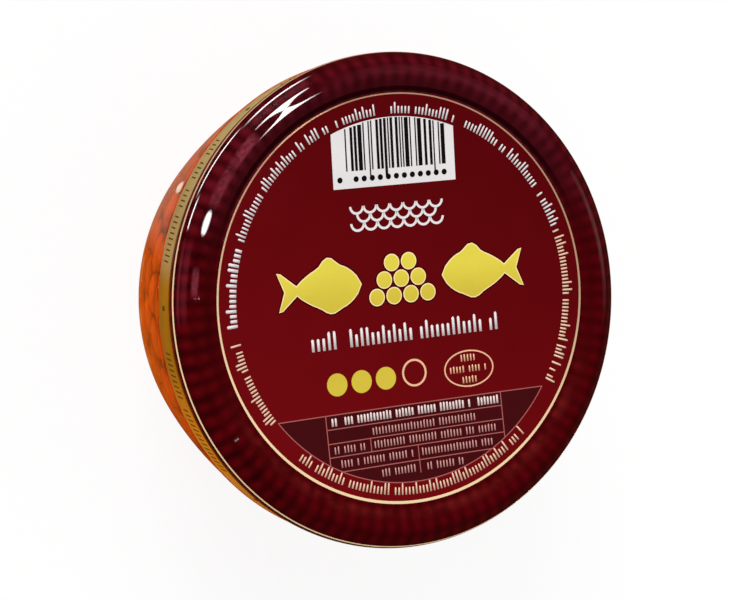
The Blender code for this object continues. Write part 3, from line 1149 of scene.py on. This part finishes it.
def stage_floor(bounce):
    """A pale floor: bright to what it lights. What mirrors it sees a table that light falls on
    through the roe, orange near the glass, with a peach patch and a bright spot on one side."""
    bpy.ops.mesh.primitive_circle_add(vertices=96, radius=4.0, fill_type="NGON")
    floor = bpy.context.object
    floor.name = "floor"
    made = Finish("floor_paper", Roughness=0.9, Specular_IOR_Level=0.0)
    place = made.place()
    path = made.add("ShaderNodeLightPath")
    x, y = made.flat(place)
    patch = made.step(y, 11.0, 20.0) * made.step(x, -18.0, -8.0, 1.0, 0.0)
    near = made.mix(patch, TABLE_ORANGE, TABLE_PEACH)
    mirrored = made.mix(made.step(made.length(x, y), 30.0, 110.0), near, TABLE_DARK)
    paper = made.mix(made.noise(place, 900.0), (0.93, 0.93, 0.93), (0.97, 0.97, 0.97))
    made.set(Base_Color=made.mix(path["Is Glossy Ray"], paper, mirrored))
    gap = made.length(x - TABLE_SPOT[0], y - TABLE_SPOT[1])
    spot = path["Is Glossy Ray"] * made.step(gap, 0.9, 1.8, 1.0, 0.0)
    level = 1.0 + path["Is Diffuse Ray"] * (bounce - 1.0) + spot * 0.6
    lit = made.add("ShaderNodeEmission", made.mix(spot, WHITE, TABLE_CREAM), level)
    seen = made.larger(seen_straight(made, path), path["Is Diffuse Ray"])
    made.share_with(made.larger(seen * 0.88, spot), lit)
    floor.data.materials.append(made.material)


def stage_world(strength, mirrored):
    """Even soft light all round, which mirrors see as a dim room."""
    world = bpy.data.worlds.new("studio")
    bpy.context.scene.world = world
    world.use_nodes = True
    nodes = Nodes(world.node_tree)
    path = nodes.add("ShaderNodeLightPath")
    seen = seen_straight(nodes, path)
    dimmed = nodes.larger(path["Is Glossy Ray"], path["Is Transmission Ray"]) * (1.0 - seen)
    level = 1.0 + (1.0 - path["Is Camera Ray"]) * (strength - 1.0)
    level = level + path["Is Transmission Ray"] * seen * (1.0 - strength)
    background = world.node_tree.nodes["Background"]
    nodes.feed(background.inputs["Color"], nodes.mix(dimmed, WHITE, ROOM_TINT))
    nodes.feed(background.inputs["Strength"], level + dimmed * (mirrored - strength))


def stage_window(strength):
    """Soft light from one side, which mirrors do not see."""
    lamp = bpy.data.lights.new("window_light", "SUN")
    lamp.energy = strength
    lamp.angle = math.radians(WINDOW_SIZE)
    made = link(bpy.data.objects.new("window_light", lamp))
    rise = math.radians(WINDOW_RISE)
    towards = Vector(round_axis(math.cos(rise), math.radians(WINDOW_TURN), math.sin(rise)))
    made.rotation_mode = "QUATERNION"
    made.rotation_quaternion = towards.to_track_quat("Z", "Y")
    made.visible_glossy = False


def stage_camera():
    """The camera at the photograph's place."""
    camera = link(bpy.data.objects.new("camera", bpy.data.cameras.new("camera")))
    camera.data.lens = CAMERA_LENS
    camera.data.sensor_width = CAMERA_SENSOR
    camera.data.clip_start = 0.01
    place, aim = camera_place()
    camera.location = place * MM
    camera.rotation_mode = "QUATERNION"
    level = (aim - place).to_track_quat("-Z", "Y")
    camera.rotation_quaternion = level @ Quaternion((0.0, 0.0, 1.0), math.radians(CAMERA_ROLL))
    bpy.context.scene.camera = camera


# Settings, operators and panel


class StageSettings(bpy.types.PropertyGroup):
    """Light of the stage."""

    daylight: FloatProperty(name="Daylight", description="Strength of the even light", default=0.7,
                            min=0.0)
    window: FloatProperty(name="Window", description="Strength of the light from one side",
                          default=2.1, min=0.0)
    bounce: FloatProperty(name="Bounce", description="Strength of the light from the floor",
                          default=1.25, min=0.0)
    room: FloatProperty(name="Room", description="What mirrors see of the even light", default=0.02,
                        min=0.0)
    highlight: FloatProperty(name="Highlight", description="Strength of the lid's highlights",
                             default=30.0, min=0.0)


class RoeSettings(bpy.types.PropertyGroup):
    """The eggs in the glass."""

    radius: FloatProperty(name="Egg radius", description="Middle radius of an egg",
                          default=3.25 * MM, unit="LENGTH")
    spread: FloatProperty(name="Spread", description="Share by which radii differ", default=0.07,
                          subtype="FACTOR")
    layers: IntProperty(name="Layers", description="Layers of eggs behind the glass", default=2)
    faces: IntProperty(name="Faces a side", description="Faces along each side of an egg", default=4)
    unevenness: FloatProperty(name="Unevenness", description="Share by which eggs are out of round",
                              default=0.05, subtype="FACTOR")
    seed: IntProperty(name="Seed", description="Seed of the heap", default=7)
    colour: FloatVectorProperty(name="Colour", description="Colour of a pale egg", size=3,
                                subtype="COLOR", default=ROE_ORANGE)


class PrintSettings(bpy.types.PropertyGroup):
    """Colours of the print on the lid."""

    white: FloatVectorProperty(name="White", description="White ink", size=3, subtype="COLOR",
                               default=INK_WHITE)
    gold: FloatVectorProperty(name="Gold", description="Gold ink", size=3, subtype="COLOR",
                              default=INK_GOLD)
    cream: FloatVectorProperty(name="Cream", description="Ink round the gold shapes", size=3,
                               subtype="COLOR", default=INK_CREAM)
    line: FloatVectorProperty(name="Line", description="Gold of the fine lines", size=3,
                              subtype="COLOR", default=LINE_GOLD)


class ROEJAR_OT_stage(bpy.types.Operator):
    """Set up the camera, the floor and the light"""

    bl_idname = "roejar.stage"
    bl_label = "Stage"

    def execute(self, context):
        settings = context.scene.roejar_stage
        context.scene.view_settings.view_transform = "Standard"
        stage_camera()
        stage_floor(settings.bounce)
        stage_world(settings.daylight, settings.room)
        stage_window(settings.window)
        lid_highlights(settings.highlight)
        return {"FINISHED"}


class ROEJAR_OT_lid(bpy.types.Operator):
    """Build the lid's metal shell"""

    bl_idname = "roejar.lid"
    bl_label = "Lid"

    def execute(self, context):
        piece(lid_mesh(), enamel(), ["lid"])
        return {"FINISHED"}


class ROEJAR_OT_gold_lines(bpy.types.Operator):
    """Print the gold circle on the panel and the gold line on the shoulder"""

    bl_idname = "roejar.gold_lines"
    bl_label = "Gold lines"

    def execute(self, context):
        # The gold lines are duller at the print's head and paler at its foot: a painted light
        # gradient
        gold = ink("line_gold", context.scene.roejar_print.line, 0.3, second=LINE_PAINTED_PALE,
                   metallic=0.2, fade=(-24.0, 20.0), lean=18.0)
        piece(circle_mesh(), gold, sharp=40.0)
        piece(hairline_mesh(), gold, sharp=40.0)
        return {"FINISHED"}


class ROEJAR_OT_ring_marks(bpy.types.Operator):
    """Print the rings of small marks inside the gold circle"""

    bl_idname = "roejar.ring_marks"
    bl_label = "Ring marks"

    def execute(self, context):
        white = ink("ink_white", context.scene.roejar_print.white)
        pale = ink("ink_tan", srgb(232, 196, 168))
        runs = [("ring_left", 214, 187, 0.3, 0.62, pale), ("ring_bold", 184, 160, 0.5, 0.82, white),
                ("ring_top", 157, 18, 0.3, 0.66, white), ("ring_right", 16, -33, 0.3, 0.62, pale)]
        for seed, (name, start, end, width, pitch, tone) in enumerate(runs):
            length = math.radians(start - end) * MARKS_FOOT
            row = marks(name, length, pitch, (1.25, 1.95), width, tone, seed)
            piece(reshaped(row, round_the_print(start, MARKS_FOOT)), tone)
        foot = 33.7
        row = marks("ring_bottom", math.radians(82) * foot, 0.7, (1.3, 2.0), 0.3, pale, 9)
        piece(reshaped(row, round_the_print(-132, foot, inwards=True)), pale)
        return {"FINISHED"}


class ROEJAR_OT_bar_block(bpy.types.Operator):
    """Print the white block with its uneven bars"""

    bl_idname = "roejar.bar_block"
    bl_label = "Bar block"

    def execute(self, context):
        white = ink("ink_white", context.scene.roejar_print.white)
        black = ink("ink_black", srgb(18, 14, 16))
        half, foot, top = 11.8, 19.5, 31.1
        first = math.degrees(math.acos(half / top))
        rounded_top = arc(0.0, 0.0, top, first, 180.0 - first, 23)
        printed("code_block", [[(-half, foot), (half, foot)] + rounded_top], white)
        draw = random.Random(21)
        module = 0.25
        bars = []
        x = -9.2
        while x < 10.3:
            width = module * draw.choice((1, 1, 2, 2, 3))
            low = 20.9 if draw.random() < 0.16 else 22.4
            high = math.sqrt((top - 0.1) ** 2 - (abs(x) + width) ** 2)
            bars.append(bar(x + width / 2, low, x + width / 2, high, width))
            x += width + module * draw.choice((1, 1, 2, 3))
        printed("code_bars", bars, black, 2)
        dots = [disc(-10.5 + 1.55 * k, 21.0, 0.5, 14) for k in range(14) if k != 1]
        printed("code_dots", dots, black, 2)
        return {"FINISHED"}


class ROEJAR_OT_scale_row(bpy.types.Operator):
    """Print the white row of fish scales"""

    bl_idname = "roejar.scale_row"
    bl_label = "Scale row"

    def execute(self, context):
        white = ink("ink_white", context.scene.roejar_print.white)
        scales = []
        for row, count in enumerate((7, 6, 7)):
            for number in range(count):
                scales += ring_loops((number - (count - 1) / 2) * 2.55, 16.4 - 1.45 * row, 1.22,
                                     1.22, 0.42, 12, math.pi, math.pi)
        printed("scale_row", scales, white)
        return {"FINISHED"}


class ROEJAR_OT_fish_row(bpy.types.Operator):
    """Print the gold fish and the heap of eggs between them"""

    bl_idname = "roejar.fish_row"
    bl_label = "Fish row"

    def execute(self, context):
        colours = context.scene.roejar_print
        outline = fish(15.6, 7.4)
        shapes = [[(-7.9 - x, 3.2 + y) for x, y in reversed(outline)],
                  [(8.1 + x, 3.2 + y) for x, y in outline]]
        for row, count in enumerate((4, 3, 2)):
            for number in range(count):
                shapes.append(disc((number - (count - 1) / 2) * 3.3, 0.6 + 2.85 * row, 1.3))
        dark = ink("ink_shadow", srgb(52, 2, 8))
        cream = ink("ink_cream", colours.cream)
        gold = ink("ink_gold", colours.gold, second=INK_DEEP_GOLD)
        for number, shape in enumerate(shapes):
            printed(f"emblem_edge_{number}", [grown(shape, 0.42)], dark, 1)
            printed(f"emblem_line_{number}", [grown(shape, 0.2)], cream, 2)
            printed(f"emblem_gold_{number}", [shape], gold, 3)
        return {"FINISHED"}


class ROEJAR_OT_small_line(bpy.types.Operator):
    """Print the white line under the fish, the gold discs, the open ring and the oval"""

    bl_idname = "roejar.small_line"
    bl_label = "Small lines"

    def execute(self, context):
        colours = context.scene.roejar_print
        white = ink("ink_white", colours.white)
        line = ink("ink_rose_gold", srgb(240, 190, 150), 0.3, metallic=0.1)
        gold = ink("ink_gold", colours.gold, second=INK_DEEP_GOLD)
        row = marks("under_line", 36.0, 1.05, (2.1, 3.1), 0.5, white, 5, left_out=0.1)
        piece(reshaped(row, straight_at(-17.9, -7.3)), white)
        for number in range(3):
            printed(f"gold_disc_{number}", [disc(-14.0 + 4.7 * number, -13.3, 1.95)], gold, 2)
        printed("open_ring", ring_loops(1.0, -13.0, 2.2, 2.2, 0.36), line)
        printed("oval_line", ring_loops(11.7, -13.5, 4.75, 3.1, 0.25), line)
        for number, (half, y) in enumerate(((1.3, -12.2), (3.6, -14.1), (1.3, -16.0))):
            row = marks(f"oval_marks_{number}", 2 * half, 0.62, (1.1, 1.2), 0.26, line, 30 + number,
                        left_out=0.1)
            piece(reshaped(row, straight_at(11.7 - half, y)), line)
        return {"FINISHED"}


class ROEJAR_OT_table(bpy.types.Operator):
    """Print the table at the foot of the panel"""

    bl_idname = "roejar.table"
    bl_label = "Table"

    def execute(self, context):
        dark = ink("ink_field", srgb(64, 13, 17))
        pink = ink("ink_pink", srgb(168, 92, 86))
        pale = ink("ink_pale", srgb(232, 210, 206))
        rose = ink("ink_rose", srgb(206, 150, 144))
        radius, chord, thin = MARKS_FOOT, -18.3, 0.16
        side = math.degrees(math.asin(chord / radius))
        edge = arc(0.0, 0.0, radius, 180.0 - side, 360.0 + side, 47)
        printed("table_field", [edge], dark)
        lines = [bar(*edge[0], *edge[-1], thin)]
        lines += [bar(*a, *b, thin) for a, b in zip(edge, edge[1:])]
        left, right = -16.8, 17.4
        rows = (-20.7, -23.1, -25.4, -28.0)
        for y in rows:
            reach = math.sqrt(radius ** 2 - y ** 2)
            lines.append(bar(max(left, -reach), y, min(right, reach), y, thin))
        for x in (left, right):
            lines.append(bar(x, chord, x, -math.sqrt(radius ** 2 - x ** 2), thin))
        lines.append(bar(-8.7, rows[1], -8.7, rows[2], thin))
        lines.append(bar(0.3, rows[2], 0.3, -30.2, thin))
        printed("table_lines", lines, pink, 2)
        cells = [(-16.2, -20.2, 33.0), (-8.0, -22.6, 20.0), (-15.6, -24.9, 6.0),
                 (-7.9, -24.9, 24.6), (-15.2, -27.3, 14.6), (1.1, -27.3, 14.2),
                 (-7.0, -29.9, 6.6), (1.2, -29.9, 8.0)]
        for number, (x, y, length) in enumerate(cells):
            tone, height, width = (rose, 1.2, 0.24) if number else (pale, 1.35, 0.36)
            row = marks(f"table_marks_{number}", length, 0.62, (height, 1.1 * height), width, tone,
                        40 + number)
            piece(reshaped(row, straight_at(x, y, INK_LIFT)), tone)
        return {"FINISHED"}


class ROEJAR_OT_glass(bpy.types.Operator):
    """Build the glass bowl"""

    bl_idname = "roejar.glass"
    bl_label = "Glass"

    def execute(self, context):
        mesh = turned("glass_bowl", glass_profile(), GLASS_SEGMENTS)
        piece(mesh, clear_glass(), ["glass_jar"])
        return {"FINISHED"}


class ROEJAR_OT_band(bpy.types.Operator):
    """Build the gold paper band and the marks printed on it"""

    bl_idname = "roejar.band"
    bl_label = "Band"

    def execute(self, context):
        inner, face, low = BAND_SEAT_RADIUS + 0.05, BAND_RADIUS - 0.03, BEAD_TOP + 0.02
        soft = 0.06
        profile = [(inner, BAND_TOP), (face - soft, BAND_TOP), (face, BAND_TOP - soft),
                   (face, low + soft), (face - soft, low), (inner, low)]
        band = turned("band_paper", profile, GLASS_SEGMENTS, closed=True)
        piece(band, gold_paper(), ["gold_band"], sharp=50.0)
        brown = ink("ink_brown", srgb(84, 56, 8), 0.5)

        def round_the_band(start, rise=0.0):
            foot = BAND_BOTTOM + 1.0 + rise
            return lambda co: round_axis(face + co[:, 2], (co[:, 0] + start) / face, foot + co[:, 1])
        every = bmesh.new()
        for phrase in range(BAND_PHRASES):
            middle = math.radians(BAND_DOT_TURN + 360.0 * (phrase + 0.5) / BAND_PHRASES) * face
            for start, length in ((-11.4, 7.6), (-1.4, 12.6)):
                row = marks("band_row", length, 0.95, (1.8, 2.0), 0.24, brown, 3 + phrase,
                            left_out=0.12, lean=0.25)
                every.from_mesh(reshaped(row, round_the_band(middle + start)))
            dot = marks("band_dot", 0.0, 1.0, (0.9, 0.9), 0.8, brown, 0, left_out=0.0)
            beside = middle + math.pi * face / BAND_PHRASES
            every.from_mesh(reshaped(dot, round_the_band(beside, 0.6)))
        piece(outwards("band_marks", every), brown)
        return {"FINISHED"}


class ROEJAR_OT_roe(bpy.types.Operator):
    """Fill the glass with eggs in their juice"""

    bl_idname = "roejar.roe"
    bl_label = "Roe"

    def execute(self, context):
        settings = context.scene.roejar_roe
        skin = egg_skin("roe_skin", settings.colour, ROE_DEEP)
        piece(egg_mesh(settings, skin), skin, ["roe"])
        radius = settings.radius / MM
        depth = radius * (1.3 + EGG_LAYER * (settings.layers - 1))
        floor, top = FLOOR_LEVEL + depth, FILL_LEVEL - radius
        core = [(wall_radius(z, GLASS_WALL + depth), z) for z in np.linspace(floor, top, 12)]
        piece(turned("roe_core", [(0.0, floor), *core, (0.0, top)], 64),
              egg_skin("roe_depth", srgb(212, 74, 2), srgb(202, 60, 1)))
        surface = FILL_LEVEL + 0.1
        juice = [(r + WALL_REACH if r > 0.0 else 0.0, z - (WALL_REACH if z < HEEL_LEVEL else 0.0))
                 for r, z in wetted_wall(surface)]
        piece(turned("roe_juice", juice + [(0.0, surface)], GLASS_SEGMENTS), brine())
        return {"FINISHED"}


OPERATORS = (ROEJAR_OT_stage, ROEJAR_OT_lid, ROEJAR_OT_gold_lines, ROEJAR_OT_ring_marks,
             ROEJAR_OT_bar_block, ROEJAR_OT_scale_row, ROEJAR_OT_fish_row, ROEJAR_OT_small_line,
             ROEJAR_OT_table, ROEJAR_OT_glass, ROEJAR_OT_band, ROEJAR_OT_roe)


class ROEJAR_PT_panel(bpy.types.Panel):
    """Settings and steps of the jar."""

    bl_idname = "ROEJAR_PT_panel"
    bl_label = "Salmon roe jar"
    bl_space_type = "VIEW_3D"
    bl_region_type = "UI"
    bl_category = "Roe jar"

    def draw(self, context):
        for settings in (context.scene.roejar_stage, context.scene.roejar_roe,
                         context.scene.roejar_print):
            box = self.layout.box()
            for name in settings.__annotations__:
                box.prop(settings, name)
        for operator in OPERATORS:
            self.layout.operator(operator.bl_idname)


SETTINGS = {"roejar_stage": StageSettings, "roejar_roe": RoeSettings, "roejar_print": PrintSettings}
CLASSES = (*SETTINGS.values(), *OPERATORS, ROEJAR_PT_panel)


def register():
    """Register the classes and the settings."""
    for kind in CLASSES:
        bpy.utils.register_class(kind)
    for name, kind in SETTINGS.items():
        setattr(bpy.types.Scene, name, PointerProperty(type=kind))


def unregister():
    """Remove the settings and the classes."""
    for name in SETTINGS:
        delattr(bpy.types.Scene, name)
    for kind in reversed(CLASSES):
        bpy.utils.unregister_class(kind)


def main():
    """Build the jar and its stage."""
    register()
    for operator in OPERATORS:
        category, name = operator.bl_idname.split(".")
        getattr(getattr(bpy.ops, category), name)()


if __name__ == "__main__":
    main()
